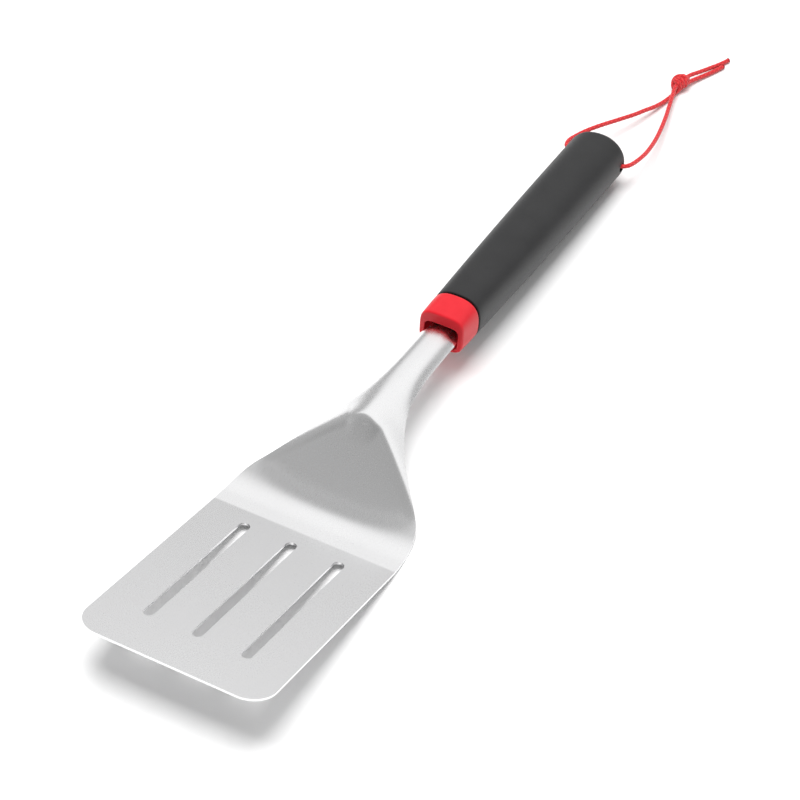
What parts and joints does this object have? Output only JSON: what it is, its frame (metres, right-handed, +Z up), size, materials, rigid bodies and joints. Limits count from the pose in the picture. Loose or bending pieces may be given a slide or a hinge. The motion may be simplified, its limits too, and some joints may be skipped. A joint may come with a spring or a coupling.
{
  "type": "grill spatula",
  "caption": "Slotted steel turner for a grill: angled one-piece blade and neck, red collar, long rounded black grip and a cord loop for hanging.",
  "frame": {"origin": "middle of the footprint at table height, with the tool resting on its heel and on the end of its grip; the hanging cord isn't counted", "axes": "+X from the blade's front edge toward the end of the grip, +Y to the left seen from the grip looking at the blade, +Z up"},
  "size_m": [0.5769, 0.098, 0.0368],
  "materials": {
    "blade_steel": "fine brushed grain along the blade, bright satin on the pressed shoulder and neck",
    "pin_steel": "turned",
    "collar_plastic": "smooth satin red",
    "core_plastic": "moulded black",
    "grip_plastic": "soft fine grain, near black",
    "cord_fabric": "tightly braided red cord with heat-sealed tips"
  },
  "bodies": {
    "spatula": {"blade": "blade_steel", "collar": "collar_plastic", "handle_core": "core_plastic", "tang_pin_front": "pin_steel", "tang_pin_rear": "pin_steel", "grip_upper": "grip_plastic", "grip_lower": "grip_plastic"},
    "hanging_cord": {"cord_left": "cord_fabric", "cord_right": "cord_fabric", "cord_knot": "cord_fabric"}
  },
  "joints": [
    {"name": "loop_swing", "type": "hinge", "parent": "spatula", "child": "hanging_cord", "pos_m": [0.21475, 0, 0.0145], "axis": [0, 1, 0], "range_deg": [-140, 140]}
  ]
}
